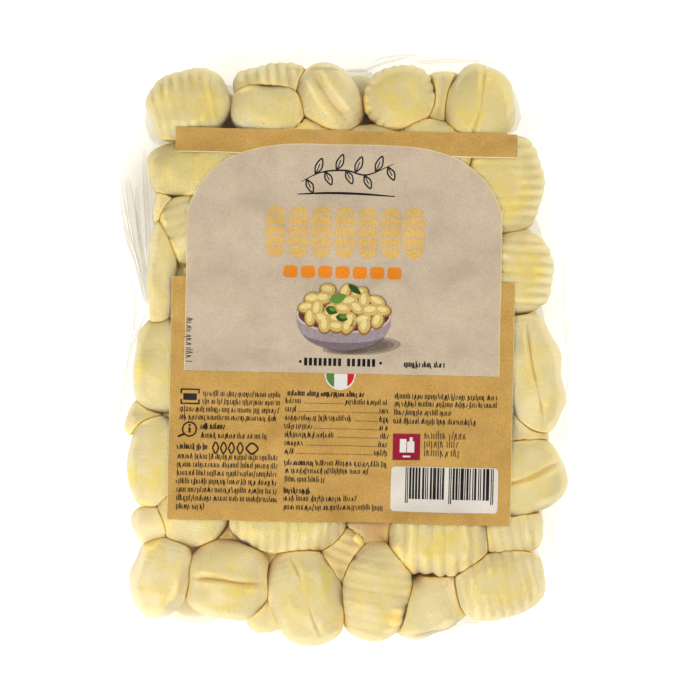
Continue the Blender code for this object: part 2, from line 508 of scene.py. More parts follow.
def gaugeLocal(local, radii, ends):
    # 1 on the piece's plain surface, less inside; it grows evenly away from the centre
    share = np.abs(local) / radii
    barrel = gnocchi["barrel"]
    girth = (share[:, 1] ** barrel + share[:, 2] ** barrel) ** (1 / barrel)
    return (girth**ends + share[:, 0] ** ends) ** (1 / ends)


def gauge(piece, points):
    return gaugeLocal((points - piece["centre"]) @ piece["axes"], piece["radii"], piece["ends"])


def smoothStep(value, low, high):
    t = np.clip((value - low) / (high - low), 0, 1)
    return t * t * (3 - 2 * t)


def insideOf(area, x, y, low, high):
    # 0 outside an upright rectangle to 1 well inside it
    halfWidth, halfLength, middle = area
    return smoothStep(np.minimum(halfWidth - np.abs(x), halfLength - np.abs(y - middle)), low, high)


def shapePiece(piece, directions):
    rng = np.random.default_rng(piece["seed"])
    radii = piece["radii"]
    local = directions * radii
    local /= gaugeLocal(local, radii, piece["ends"])[:, None]
    normal = local / radii**2
    normal /= np.linalg.norm(normal, axis=1)[:, None]
    s, t, w = (local / radii).T
    rise = np.zeros(len(local))
    for _ in range(5):
        wave = rng.normal(size=3)
        wave *= rng.uniform(0.35, 0.75) / np.linalg.norm(wave)
        rise += gnocchi["lump"] * 0.6 * np.sin(local @ wave + rng.uniform(0, 6.3))
    if piece["form"] in gnocchi["ridges"]:
        pitch, height = gnocchi["ridges"][piece["form"]]
        crests = np.abs(np.cos(local[:, 0] * math.pi / pitch + rng.uniform(0, 3.1))) ** 0.8
        rise += height * (crests - 0.6) * (1 - np.abs(s) ** 8)
        piece["groove"] = height * (1 - crests) * (1 - np.abs(s) ** 8) * np.clip(w, 0, 1)
    if piece["form"] == "face":
        turn = np.arctan2(local[:, 1], local[:, 0])
        rim = np.abs(np.cos(turn * 11))
        rise += 0.4 * (rim - 0.6) * (1 - smoothStep(w, 0.35, 0.8))
    if piece["form"] in gnocchi["seams"]:
        deep, wide, shade = gnocchi["seams"][piece["form"]]
        line = 0.05 * np.sin(3.1 * s + rng.uniform(0, 6.3)) + rng.uniform(-0.05, 0.05)
        away = np.abs(t - line) * radii[1]
        front = smoothStep(w, 0.0, 0.35) * (1 - smoothStep(np.abs(s), 0.5, 0.96))
        slit = front * np.exp(-((away / wide) ** 1.4))
        rise += front * 0.3 * np.exp(-(((away - 2 * wide - 0.6) / 1.0) ** 2)) - deep * slit
        # painted shade inside the slit, laid on with the crevice shade
        piece["slit"] = shade * slit
    if piece["form"] == "smooth":
        spot = rng.normal(size=3)
        spot /= np.linalg.norm(spot)
        rise -= 0.8 * np.exp(-(np.sum((directions - spot) ** 2, axis=1) / 0.18))
    local = local + normal * rise[:, None]
    return local @ piece["axes"].T + piece["centre"]


def yieldTo(piece, other):
    # 1 where two pieces give way alike; less where this one lies lower and gives way more
    if "gnocchiBack" in (piece["kind"], other["kind"]):
        return 1.0
    most = gnocchi["mostPrecedence"]
    return min(max(math.exp(gnocchi["precedence"] * (piece["top"] - other["top"])), 1 / most), most)


def pressTogether(pieces):
    # where two pieces would overlap, both stop at a surface between them
    for piece in pieces:
        own = gauge(piece, piece["points"])
        near = np.full(len(own), 9.0)
        for other in pieces:
            reach = piece["radii"].max() + other["radii"].max()
            if other is piece or np.linalg.norm(piece["centre"] - other["centre"]) > reach:
                continue
            firm = yieldTo(piece, other)
            arm = piece["points"] - piece["centre"]
            room = gauge(other, piece["points"]) - 1 - firm * (own - 1)
            touched = np.flatnonzero(room < gnocchi["gap"])
            if len(touched):
                low, high = np.zeros(len(touched)), np.ones(len(touched))
                for _ in range(11):
                    middle = (low + high) / 2
                    spot = piece["centre"] + arm[touched] * middle[:, None]
                    room = gauge(other, spot) - 1 - firm * (own[touched] * middle - 1)
                    free = room > gnocchi["gap"]
                    low, high = np.where(free, middle, low), np.where(free, high, middle)
                piece["points"][touched] = piece["centre"] + arm[touched] * low[:, None]
                own[touched] *= low
            near = np.minimum(near, gauge(other, piece["points"]) - 1 - firm * (own - 1))
        piece["near"] = near
    for piece in pieces:
        up = np.clip((piece["points"] - piece["centre"])[:, 2] / piece["radii"][2] * 3, -1, 1)
        room = np.maximum(gnocchi["topPlane"] - piece["points"][:, 2], 0)
        if piece["kind"] == "gnocchiBack":
            room = np.maximum(piece["points"][:, 2], 0)
            up = -np.clip(-up, 0, 1)
        else:
            up = np.clip(up, 0, 1)
        valley = np.clip(1 - piece["near"] / gnocchi["valleyReach"], 0, 1) ** 1.5
        line = np.clip(1 - piece["near"] / gnocchi["lineReach"], 0, 1) ** 2
        piece["points"][:, 2] += up * (gnocchi["valleyFill"] * room * valley - gnocchi["lineDepth"] * line)


def flattenFronts(pieces):
    # film above and table below press the outermost places flat, with a soft edge
    top, low, soft = gnocchi["topPlane"], gnocchi["bottomPlane"], gnocchi["pressSoftness"]
    for piece in pieces:
        z = piece["points"][:, 2]
        z = top - soft * np.logaddexp(0, (top - z) / soft)
        z = low + soft * np.logaddexp(0, (z - low) / soft)
        piece["points"][:, 2] = z - gnocchi["grooveOnTop"] * piece.get("groove", 0)


def tonesOf(piece):
    z = piece["points"][:, 2]
    creviceShade = 0
    # painted shade in the crevices, strongest close to each neighbour
    for strength, reach in gnocchi["creviceShading"]:
        creviceShade = creviceShade + strength * np.clip(1 - piece["near"] / reach, 0, 1) ** 1.5
    # painted shade also inside the slit and in the grooves between ridges
    creviceShade = np.maximum(creviceShade, piece.get("slit", 0))
    creviceShade = np.maximum(creviceShade, 0.3 * piece.get("groove", 0))
    x, y = piece["points"][:, 0], piece["points"][:, 1]
    # the film-pressed top is wet and yellower; that the slopes below stay paler is partly painted light,
    # as if lit through the dough
    pressedAndLitSlopes = 0.7 * np.clip((z - gnocchi["topPlane"] + 3.2) / 2.4, 0, 1)
    for patchX, patchY, size in gnocchi["wetPatches"]:
        away = np.hypot(x - patchX, y - patchY)
        wet = gnocchi["wetStrength"] * (1 - smoothStep(away, size - 1, size + 0.6))
        pressedAndLitSlopes = np.maximum(pressedAndLitSlopes, wet * (z > gnocchi["wetAbove"]))
    # painted shade in the deep gaps, growing with how far a point lies below the top
    inGapShadeArea = insideOf(gnocchi["gapShadeArea"], x, y, 3.0, 10.0)
    gapShade = inGapShadeArea * np.clip((gnocchi["topPlane"] - gnocchi["gapShadeFrom"] - z) / gnocchi["gapShadeOver"], 0, 1)
    if piece["kind"] == "gnocchiBack":
        # the back layer shows its own pressed places downwards
        pressedAndLitSlopes = np.clip((1.8 - z) / 1.5, 0, 1)
        # painted gap shade on its tops, which show through the gaps
        gapShade = inGapShadeArea * np.clip(1 - np.abs(z - 16) / 9, 0, 1)
    pale = np.full(len(z), piece["pale"])
    return np.stack([creviceShade, pressedAndLitSlopes, gnocchi["gapShadeStrength"] * gapShade, pale], axis=1)


def buildGnocchi(material):
    pieces = allPieces()
    spheres = {cells: cubeSphere(cells, 1.25) for cells in {piece["cells"] for piece in pieces}}
    for piece in pieces:
        piece["points"] = shapePiece(piece, spheres[piece["cells"]][0])
    pressTogether(pieces)
    flattenFronts(pieces)
    kinds = {}
    for piece in pieces:
        kinds.setdefault(piece["kind"], []).append(piece)
    whole = [[], []]
    count = 0
    for kind, members in kinds.items():
        points, faces, tones, rolled, start = [], [], [], [], 0
        for piece in members:
            quads = spheres[piece["cells"]][1]
            points.append(piece["points"])
            faces.append(quads + start)
            tones.append(tonesOf(piece))
            rolled.append((piece["points"] - piece["centre"]) @ piece["axes"] + piece["seed"] % 97 * 31.0)
            start += len(piece["points"])
        points, faces, tones = (np.concatenate(part) for part in (points, faces, tones))
        obj = newObject(kind, points, faces.tolist(), material)
        pointColors(obj, "tone", tones)
        layer = obj.data.attributes.new("rolled", "FLOAT_VECTOR", "POINT")
        layer.data.foreach_set("vector", np.concatenate(rolled).astype(np.float32).ravel())
        whole[0].append(points)
        whole[1].append(faces + count)
        count += len(points)
        print(f"{kind}: {len(members)} pieces, {2 * len(faces)} triangles")
    return np.concatenate(whole[0]), np.concatenate(whole[1])


# The film pouch

film = {
    "cell": 0.8,
    "columns": 152,
    "rows": 206,
    "marginHeight": 12.5,
    "marginWave": 1.0,
    "marginWaveLength": 52.0,
    "marginWavePhase": 0.6,
    # height, size and seed of the margin's crinkles
    "marginCrinkles": ((0.9, 11.0, 3.0), (0.25, 3.4, 7.0)),
    "sealThickness": 0.16,
    "clearance": 0.14,
    "topSag": 0.16,
    "wallSag": 0.75,
    "printSag": 0.5,
    # half width and half length of the pack's top face and of the print, and their middles' y
    "topFace": (61, 82, -3.4),
    "printed": (50, 55, 5),
    "drapeSteps": 420,
    "backLift": 0.06,
    "waistDepth": 10.5,
    "waistY": 10.0,
    "waistHalfLength": 30.0,
    "waistReach": 0.3,
    "topEdgeFall": 3.0,
    "bottomEdgeRise": 7.5,
    # where each slant starts, and over what length it grows to its full size
    "topEdge": (80.5, 12),
    "bottomEdge": (-87.5, 10),
    "sideShift": 2.5,
    "tint": (255, 255, 254),
    "gloss": 0.42,
    # painted shade: the tan that milky film gives to what shows through it along folds, web, margins and
    # rim
    "foldShadeTint": (190, 178, 156),
    "haze": (226, 222, 212),
    "hazeShare": 0.42,
    "glossRoughness": 0.11,
    "milk": 0.01,
    "marginMilk": 0.03,
    "webMilk": 0.24,
    "rimMilk": 0.16,
    # the gathered web beside the waist: the x that it grows over, the y that it begins and ends
    # over, and the y and x of its outer edge
    "webSide": (54.5, 56.5),
    "webLow": (9, 13),
    "webHigh": (44, 62),
    "webEdge": [(9, -57.4), (17, -59.2), (24.5, -61.3), (33, -64.0), (50, -66.9), (64, -68)],
    "pleatMilk": 1.6,
    # pleats in the film: points along each, its width, and how milky it is
    "pleats": [
        ([(-66.8, 52), (-63.9, 33), (-61.1, 24.5), (-59, 17.3), (-57.6, 11)], 1.6, 0.55),
        ([(-68.5, 56), (-66.0, 40), (-63.0, 28), (-60.2, 19), (-58.2, 12)], 1.0, 0.4),
        ([(-61.3, 47), (-60.8, 37), (-59.6, 28.8), (-58.2, 21.6), (-57.2, 13)], 1.5, 0.6),
        ([(-64.2, 50), (-62.3, 38), (-60.4, 28), (-58.7, 20), (-57.4, 12)], 2.6, 0.35),
        ([(-58.6, 58), (-58.2, 44), (-57.4, 32), (-56.7, 22)], 1.8, 0.4),
        (
            [
                (-57.4, 10.5), (-59.4, 5.8), (-61.1, 2), (-62.8, -3),
                (-64.5, -11.5), (-66.2, -18.7), (-68.3, -27.4), (-70, -35),
            ],
            0.9,
            0.7,
        ),
        ([(-57.8, 9), (-60.2, 3), (-61.4, -4), (-62.4, -12), (-64.0, -24), (-65.0, -32)], 0.8, 0.35),
        ([(-62.2, 21), (-62.0, 13), (-61.6, 7), (-60.6, 3)], 1.8, 0.3),
        ([(-18, 80.2), (-4.3, 80.0), (5.2, 80.4), (10.1, 82.1), (15.8, 83.8), (19.3, 84.7)], 0.9, 0.6),
        ([(7.8, 82.9), (11.5, 84.4), (18.7, 85.2), (24, 84.6)], 0.7, 0.45),
        ([(18.7, 84.1), (23, 82.9), (30.2, 83.5), (40, 82.6), (56, 83.4)], 1.2, 0.35),
        (
            [
                (15.8, -85.5), (21.6, -84.4), (28.8, -82.9), (33.1, -81.8), (38.9, -81.2),
                (43.2, -81.8), (47.5, -83.5), (51.8, -84.7), (57.6, -85.2),
            ],
            1.1,
            0.7,
        ),
        ([(20.2, -89.6), (25.9, -87.3), (30.2, -85), (33.7, -82.4)], 0.8, 0.5),
        ([(38.9, -82.1), (40.9, -85), (41.8, -87.3)], 1.4, 0.3),
        ([(5.8, -87.5), (12, -87.1), (20, -85.9), (27, -84.2)], 0.8, 0.4),
        ([(54, -88.9), (60, -88.5), (66, -88.6)], 0.6, 0.3),
        ([(-44, -83.0), (-33, -85.6), (-22, -87.4), (-12, -88.6), (-2, -88.3)], 0.7, 0.35),
        ([(63.4, 36), (64.6, 14), (64.8, -8), (63.6, -28)], 0.8, 0.3),
        ([(60.6, -50), (61.4, -62), (60.0, -74)], 0.8, 0.3),
    ],
}


def waist(y):
    return film["waistDepth"] * np.exp(-(((y - film["waistY"]) / film["waistHalfLength"]) ** 2))


def filmPlan(columns, rows):
    x, y = np.meshgrid(
        np.linspace(-0.5, 0.5, columns + 1) * (filmWidth - film["sideShift"]),
        np.linspace(-0.5, 0.5, rows + 1) * filmLength,
    )
    right = x / (filmWidth - film["sideShift"]) + 0.5
    up = y / filmLength + 0.5
    (top, topReach), (bottom, bottomReach) = film["topEdge"], film["bottomEdge"]
    y = y - film["topEdgeFall"] * right * np.clip((y - top) / topReach, 0, 1)
    y = y + film["bottomEdgeRise"] * right * np.clip((bottom - y) / bottomReach, 0, 1)
    x = x + waist(y) * np.clip(1 - right / film["waistReach"], 0, 1)
    return x + film["sideShift"] * (0.5 - up), y


def smoothCurve(points, count):
    # an even run of points on a smooth curve through the given ones
    points = np.asarray(points, float)
    ends = np.concatenate([[2 * points[0] - points[1]], points, [2 * points[-1] - points[-2]]])
    out = []
    for i in range(1, len(ends) - 2):
        a, b, c, d = ends[i - 1 : i + 3]
        for t in np.linspace(0, 1, count, endpoint=False):
            out.append(
                0.5
                * (
                    2 * b
                    + (c - a) * t
                    + (2 * a - 5 * b + 4 * c - d) * t**2
                    + (3 * b - a - 3 * c + d) * t**3
                )
            )
    out.append(points[-1])
    return np.array(out)


def crinkle(x, y, size, seed):
    out = np.empty(x.size)
    for i, (a, b) in enumerate(zip(x.ravel() / size, y.ravel() / size)):
        out[i] = noise.noise(Vector((a, b, seed)))
    return out.reshape(x.shape)


def marginMiddle(x, y):
    turn = 2 * math.pi / film["marginWaveLength"]
    wave = film["marginWave"] * np.sin(turn * x + film["marginWavePhase"]) * np.cos(turn * y)
    middle = film["marginHeight"] + wave
    for height, size, seed in film["marginCrinkles"]:
        middle = middle + height * crinkle(x, y, size, seed)
    return middle


def reachOf(tree, x, y, fromTop):
    heights = np.full(x.size, -1e3)
    start, way = (80.0, -1.0) if fromTop else (-80.0, 1.0)
    direction = Vector((0, 0, way))
    for i, (a, b) in enumerate(zip(x.ravel(), y.ravel())):
        spot = tree.ray_cast(Vector((a, b, start)), direction)[0]
        if spot is not None:
            heights[i] = spot.z if fromTop else -spot.z
    return heights.reshape(x.shape)


def drape(support, floor, pull):
    # film under vacuum: it touches what holds it up, and is drawn down in between
    base = np.maximum(support, floor)
    sheet = base.copy()
    for _ in range(film["drapeSteps"]):
        mean = (sheet[:-2, 1:-1] + sheet[2:, 1:-1] + sheet[1:-1, :-2] + sheet[1:-1, 2:]) / 4
        sheet[1:-1, 1:-1] = np.maximum(base[1:-1, 1:-1], mean - pull[1:-1, 1:-1])
    return sheet


def sample(grid, x, y):
    # height of a square map at any place, straight between its points
    u = np.clip((x - grid["x0"]) / film["cell"], 0, grid["z"].shape[1] - 1.001)
    v = np.clip((y - grid["y0"]) / film["cell"], 0, grid["z"].shape[0] - 1.001)
    i, j = np.floor(v).astype(int), np.floor(u).astype(int)
    a, b = v - i, u - j
    z = grid["z"]
    near = z[i, j] * (1 - b) + z[i, j + 1] * b
    far = z[i + 1, j] * (1 - b) + z[i + 1, j + 1] * b
    return near * (1 - a) + far * a


def drapeMaps(points, faces):
    tree = BVHTree.FromPolygons(points.tolist(), faces.tolist())
    halfX, halfY = filmWidth / 2 + 2, filmLength / 2 + 2
    x, y = np.meshgrid(np.arange(-halfX, halfX, film["cell"]), np.arange(-halfY, halfY, film["cell"]))
    middle = marginMiddle(x, y)
    top = insideOf(film["topFace"], x, y, -1.0, 5.0)
    sag = film["wallSag"] + (film["topSag"] - film["wallSag"]) * top
    sag = sag * (1 - film["printSag"] * insideOf(film["printed"], x, y, 0, 4))
    pull = sag * film["cell"] ** 2 / 4
    half = film["sealThickness"] / 2
    front = drape(reachOf(tree, x, y, True) + film["clearance"], middle + half, pull)
    back = -drape(reachOf(tree, x, y, False) + film["clearance"], half - middle, pull)
    # the front is smoothed a little
    for _ in range(2):
        total = 4 * front[1:-1, 1:-1]
        for side in (front[:-2, 1:-1], front[2:, 1:-1], front[1:-1, :-2], front[1:-1, 2:]):
            total = total + side
        front[1:-1, 1:-1] = total / 8
    place = {"x0": x[0, 0], "y0": y[0, 0]}
    return {**place, "z": front}, {**place, "z": np.maximum(back, film["backLift"])}


def filmMaterial():
    material, tree, output = emptyMaterial("clearFilm")
    tone = addNode(tree, "ShaderNodeAttribute", attribute_name="milk")
    milk = addNode(tree, "ShaderNodeSeparateColor", {"Color": tone.outputs["Color"]}).outputs[0]
    streaks = noiseNode(tree, objectPlace(tree), 420.0, 3.0, 0.6)
    normal = bumpNode(tree, streaks.outputs["Fac"], 0.25, 0.0002)
    # milky places tint what shows through them tan, which is painted shade, and lay the film's own haze
    # over it
    tint = mixColors(tree, milk, linear(*film["tint"]), linear(*film["foldShadeTint"]))
    clear = addNode(tree, "ShaderNodeBsdfTransparent", {"Color": tint})
    inputs = {"Base Color": linear(*film["haze"]), "Roughness": 0.4, "Normal": normal}
    haze = addNode(tree, "ShaderNodeBsdfPrincipled", inputs)
    milky = mixShaders(tree, mathNode(tree, "MULTIPLY", milk, film["hazeShare"]), clear, haze)
    gloss = addNode(tree, "ShaderNodeBsdfGlossy", {"Roughness": film["glossRoughness"], "Normal": normal})
    edge = addNode(tree, "ShaderNodeFresnel", {"IOR": 1.35, "Normal": normal})
    whole = mixShaders(tree, mathNode(tree, "MULTIPLY", edge.outputs[0], film["gloss"]), milky, gloss)
    tree.links.new(whole.outputs[0], output.inputs["Surface"])
    return material


def buildFilm(front, back, material):
    x, y = filmPlan(film["columns"], film["rows"])
    rows, columns = x.shape
    count = rows * columns
    high, low = sample(front, x, y), sample(back, x, y)
    low = np.minimum(low, high - film["sealThickness"])
    points = np.concatenate([np.stack([x, y, z], axis=-1).reshape(-1, 3) for z in (high, low)])
    i, j = np.meshgrid(range(rows - 1), range(columns - 1), indexing="ij")
    first = (i * columns + j).ravel()
    quads = np.stack([first, first + 1, first + columns + 1, first + columns], axis=1)
    faces = np.concatenate([quads, quads[:, ::-1] + count])
    edge = [
        *range(columns),
        *range(2 * columns - 1, count, columns),
        *range(count - 2, count - columns - 1, -1),
        *range(count - 2 * columns, 0, -columns),
    ]
    rim = [(b, a, count + a, count + b) for a, b in zip(edge, edge[1:] + edge[:1])]
    obj = newObject("filmPouch", points, faces.tolist() + rim, material)
    flat = 1 - smoothStep(high - low, 1.5, 6)
    milk = film["milk"] + film["marginMilk"] * flat * (0.5 + crinkle(x, y, 6.0, 11.0))
    # a gathered web of film beside the waist
    foldY, foldX = zip(*film["webEdge"])
    web = smoothStep(x - np.interp(y, foldY, foldX), 0, 0.8) * smoothStep(-x, *film["webSide"])
    ends = smoothStep(y, *film["webLow"]), 1 - smoothStep(y, *film["webHigh"])
    milk = milk + film["webMilk"] * web * ends[0] * ends[1]
    # the cut edge of the film is a little whiter
    milk[[0, -1], :] = film["rimMilk"]
    milk[:, [0, -1]] = film["rimMilk"]
    colors = np.ones((2 * count, 4), np.float32)
    colors[:, :3] = np.tile(np.clip(milk, 0, 1).ravel(), 2)[:, None]
    pointColors(obj, "milk", colors)
    print(f"filmPouch: {2 * len(faces)} triangles")


def buildPleats(front, material):
    # narrow arched ribbons of doubled film, milky along both edges, which tints them with painted shade
    points, faces, milk = [], [], []
    across = np.linspace(-1, 1, 7)
    for course, width, strength in film["pleats"]:
        curve = smoothCurve(course, 12)
        along = np.gradient(curve, axis=0)
        along /= np.linalg.norm(along, axis=1)[:, None]
        share = np.linspace(0, 1, len(curve))
        taper = np.sqrt(np.clip(np.minimum(share, 1 - share) / 0.25, 0, 1))
        start = len(points)
        for (x, y), (dx, dy), thin in zip(curve, along, taper):
            half = width / 2 * (0.25 + 0.75 * thin)
            for step in across:
                px, py = x - dy * step * half, y + dx * step * half
                lift = 0.1 + 0.45 * thin * half * (1 - step**2)
                points.append((px, py, float(sample(front, px, py)) + lift))
                milk.append(min(1, film["pleatMilk"] * strength) * thin * (0.25 + 0.75 * abs(step) ** 3))
        size = len(across)
        for i in range(len(curve) - 1):
            for j in range(size - 1):
                a = start + i * size + j
                faces.append((a, a + size, a + size + 1, a + 1))
    obj = newObject("filmPleats", points, faces, material)
    colors = np.repeat(np.array(milk, np.float32)[:, None], 4, axis=1)
    pointColors(obj, "milk", colors)


# The print, laid out flat in the label's own millimetres and then laid on the film

label = {
    "centre": (-0.7, 5.2),
    "turn": -1.2,
    "lift": 0.14,
    "layerStep": 0.045,
    "cut": 1.0,
    "grainSize": 0.4,
    "patchSize": 5.0,
    "roughness": 0.45,
    "specular": 0.12,
    "tan": (162, 126, 64),
    "cream": (165, 149, 127),
    "title": (176, 142, 80),
    "orange": (184, 106, 20),
    "text": (24, 14, 8),
    "black": (5, 4, 3),
    "edge": (206, 186, 140),
    "panel": (176, 169, 158),
    "white": (180, 176, 168),
    "green": (64, 98, 36),
    "red": (158, 16, 22),
    "darkRed": (116, 10, 32),
    "bowl": (122, 108, 110),
    "bowlShade": (78, 66, 70),
    "bowlRim": (156, 136, 130),
    "bowlInside": (64, 26, 16),
    "dumplingShade": (116, 78, 34),
    "dumpling": (160, 136, 76),
    "dumplingLight": (182, 164, 106),
    "leaf": (74, 108, 32),
    "leafDark": (32, 58, 18),
    "shadow": (88, 76, 66),
}


def box(x0, y0, x1, y1, longest=1.2):
    # an upright rectangle as short quads, so that it can follow the film
    across = max(1, math.ceil(abs(x1 - x0) / longest))
    down = max(1, math.ceil(abs(y1 - y0) / longest))
    xs, ys = np.linspace(x0, x1, across + 1), np.linspace(y0, y1, down + 1)
    return [
        [(xs[i], ys[j]), (xs[i + 1], ys[j]), (xs[i + 1], ys[j + 1]), (xs[i], ys[j + 1])]
        for i in range(across)
        for j in range(down)
    ]


def placed(ring, x, y, turn):
    # an outline turned by so many degrees, with its middle at x, y
    cosine, sine = math.cos(math.radians(turn)), math.sin(math.radians(turn))
    return [(x + u * cosine - v * sine, y + u * sine + v * cosine) for u, v in ring]


def oval(x, y, rx, ry, turn=0.0, count=20):
    angles = [2 * math.pi * k / count for k in range(count)]
    return placed([(rx * math.cos(a), ry * math.sin(a)) for a in angles], x, y, turn)


def roundedBox(x0, y0, x1, y1, corner, count=5):
    ring = []
    for cx, cy, start in (
        (x1 - corner, y0 + corner, -90),
        (x1 - corner, y1 - corner, 0),
        (x0 + corner, y1 - corner, 90),
        (x0 + corner, y0 + corner, 180),
    ):
        for k in range(count + 1):
            a = math.radians(start + 90 * k / count)
            ring.append((cx + corner * math.cos(a), cy + corner * math.sin(a)))
    return ring


def stroke(points, width, closed=False, taper=False):
    # a pen line along a smooth curve, as short quads
    curve = smoothCurve(points + points[:1] if closed else points, 6)
    sides = []
    last = len(curve) - 1
    for k, (x, y) in enumerate(curve):
        before, after = curve[max(k - 1, 0)], curve[min(k + 1, last)]
        dx, dy = after - before
        size = math.hypot(dx, dy) or 1
        half = width / 2 * (0.35 + 0.65 * math.sin(math.pi * k / last) if taper else 1)
        overX, overY = dy / size * half, dx / size * half
        sides.append(((x - overX, y + overY), (x + overX, y - overY)))
    return [[a[1], b[1], b[0], a[0]] for a, b in zip(sides, sides[1:])]


def leafShape(x, y, length, width, turn, count=7):
    # a pointed leaf
    upper = []
    for k in range(count + 1):
        u = k / count
        upper.append((length * (u - 0.5), width / 2 * math.sin(math.pi * u) ** 0.8 * (1.15 - 0.3 * u)))
    return placed(upper + [(u, -v) for u, v in upper[-2:0:-1]], x, y, turn)


def tickRow(rng, x, y, width, size, weight):
    # a line of filler marks centred on y: groups of small strokes, with no letters in them
    marks, end = [], x + width
    pitch = 0.37 * size
    while x < end - pitch:
        for _ in range(rng.randint(3, 11)):
            if x > end - pitch:
                break
            top = y + size * rng.choice((0.5, 0.5, 0.5, 0.5, 0.85, 0.3))
            low = y - size * rng.choice((0.5, 0.5, 0.5, 0.5, 0.5, 0.8))
            lean = size * rng.choice((0, 0, 0, 0, 0.28, -0.28))
            marks.append([(x, low), (x + weight, low), (x + weight + lean, top), (x + lean, top)])
            x += pitch
        x += pitch * 0.9
    return marks


def inkMaterial(name, color, alpha, grain, patches):
    material, tree, output = emptyMaterial(name)
    mottled = useMottle(tree, linear(*color), label["grainSize"], grain, label["patchSize"], patches)
    inputs = {
        "Base Color": mottled.outputs["Color"],
        "Roughness": label["roughness"],
        "Alpha": alpha,
        "Specular IOR Level": label["specular"],
        "Normal": bumpNode(tree, mottled.outputs["Grain"], 0.12, 0.0001),
    }
    addPrincipled(tree, output, inputs)
    return material


def layInk(name, polygons, color, layer, front, alpha=1.0, grain=0.3, patches=0.1):
    # cut into small faces, turned with the label, and laid a hair above the film
    mesh = bmesh.new()
    for ring in polygons:
        mesh.faces.new([mesh.verts.new((x, y, 0)) for x, y in ring])
    bmesh.ops.remove_doubles(mesh, verts=mesh.verts[:], dist=0.001)
    for axis in (0, 1):
        places = [v.co[axis] for v in mesh.verts]
        for place in np.arange(min(places) + label["cut"], max(places), label["cut"]):
            spot, way = Vector((0, 0, 0)), Vector((0, 0, 0))
            spot[axis], way[axis] = place, 1
            geometry = mesh.verts[:] + mesh.edges[:] + mesh.faces[:]
            bmesh.ops.bisect_plane(mesh, geom=geometry, plane_co=spot, plane_no=way, dist=1e-5)
    mesh.verts.index_update()
    mesh.normal_update()
    flat = np.array([v.co for v in mesh.verts])
    faces = []
    for face in mesh.faces:
        ring = [v.index for v in face.verts]
        faces.append(ring if face.normal.z > 0 else ring[::-1])
    mesh.free()
    angle = math.radians(label["turn"])
    x = label["centre"][0] + flat[:, 0] * math.cos(angle) - flat[:, 1] * math.sin(angle)
    y = label["centre"][1] + flat[:, 0] * math.sin(angle) + flat[:, 1] * math.cos(angle)
    z = sample(front, x, y) + label["lift"] + layer * label["layerStep"]
    material = inkMaterial(name + "Ink", label[color], alpha, grain, patches)
    newObject(name, np.stack([x, y, z], axis=1), faces, material)


fields = {
    "halfWidth": 49.4,
    "stripTop": 56.8,
    "stripBottom": 49.9,
    "tanTop": 13.7,
    "tanBottom": -56.5,
    "archHalfWidth": 45.4,
    "archBottom": -13.4,
    "archSpring": 31.4,
    "archRise": 21.2,
    "archSquareness": 4.0,
    "archPower": 0.66,
    "edge": 0.3,
}


def archRing():
    half = fields["archHalfWidth"]
    ring = [(-half, fields["archBottom"]), (half, fields["archBottom"])]
    for k in range(61):
        u = math.cos(math.pi * k / 60)
        rise = (1 - abs(u) ** fields["archSquareness"]) ** fields["archPower"]
        ring.append((half * u, fields["archSpring"] + fields["archRise"] * rise))
    return ring


def plainBox(x0, y0, x1, y1):
    return [(x0, y0), (x1, y0), (x1, y1), (x0, y1)]


def buildFields(front):
    half, arch, edge = fields["halfWidth"], fields["archHalfWidth"], fields["edge"]
    tan = [
        plainBox(-half, fields["stripBottom"], half, fields["stripTop"]),
        plainBox(-half, fields["archBottom"], -arch, fields["tanTop"]),
        plainBox(arch, fields["archBottom"], half, fields["tanTop"]),
        plainBox(-half, fields["tanBottom"], half, fields["archBottom"]),
    ]
    layInk("tanFields", tan, "tan", 0, front, alpha=0.88, grain=1.0, patches=0.3)
    strip = [plainBox(-half, fields["stripBottom"] - edge, half, fields["stripBottom"])]
    strip += [plainBox(-half - edge, fields["tanBottom"], -half, fields["tanTop"])]
    strip += [plainBox(half, fields["tanBottom"], half + edge, fields["tanTop"])]
    layInk("stripEdge", strip[:1], "edge", 1, front, alpha=0.85)
    layInk("sideEdges", strip[1:], "edge", 1, front, alpha=0.4)
    ring = archRing()
    layInk("creamArch", [ring], "cream", 2, front, alpha=0.88, grain=0.7, patches=0.25)
    layInk("archEdge", stroke(ring[1:] + ring[:1], edge), "edge", 3, front, alpha=0.6)


ornaments = {
    "titleCount": 7,
    "titleLeft": -22.9,
    "titlePitch": 6.68,
    "titleWidth": 5.9,
    "titleLow": 19.9,
    "titleHigh": 34.7,
    "grooves": 4,
    "groove": 0.55,
    "blockLeft": -17.4,
    "blockPitch": 5.0,
    "blockWidth": 4.1,
    "blockLow": 14.0,
    "blockHigh": 17.5,
    "blockCorner": 1.1,
    "leafCount": 9,
}


def ridgedCapsule(left, low, width, high):
    # an upright dumpling: a round-ended shape split by bowed grooves
    radius, middle, rings = width / 2, left + width / 2, []
    count, half = ornaments["grooves"] + 1, ornaments["groove"] / 2
    step = (high - low) / count
    for band in range(count):
        # the end bands run on past the round ends, which cut them off
        bandLow = low + band * step + (half if band else -9)
        bandHigh = low + (band + 1) * step - (half if band < count - 1 else -9)
        edges = []
        for k in range(13):
            u = -1 + k / 6
            bow = 1.0 * (1 - u * u) - 0.5
            cap = radius * (1 - math.sqrt(max(1 - u * u, 0)))
            bottom, top = max(bandLow + bow, low + cap), min(bandHigh + bow, high - cap)
            edges.append((middle + radius * u, bottom, top))
        for (x0, low0, high0), (x1, low1, high1) in zip(edges, edges[1:]):
            thin, thick = sorted((high0 - low0, high1 - low1))
            if thin > -0.2 and thick > 0.05:
                high0, high1 = max(low0 + 0.01, high0), max(low1 + 0.01, high1)
                rings.append([(x0, low0), (x1, low1), (x1, high1), (x0, high0)])
    return rings


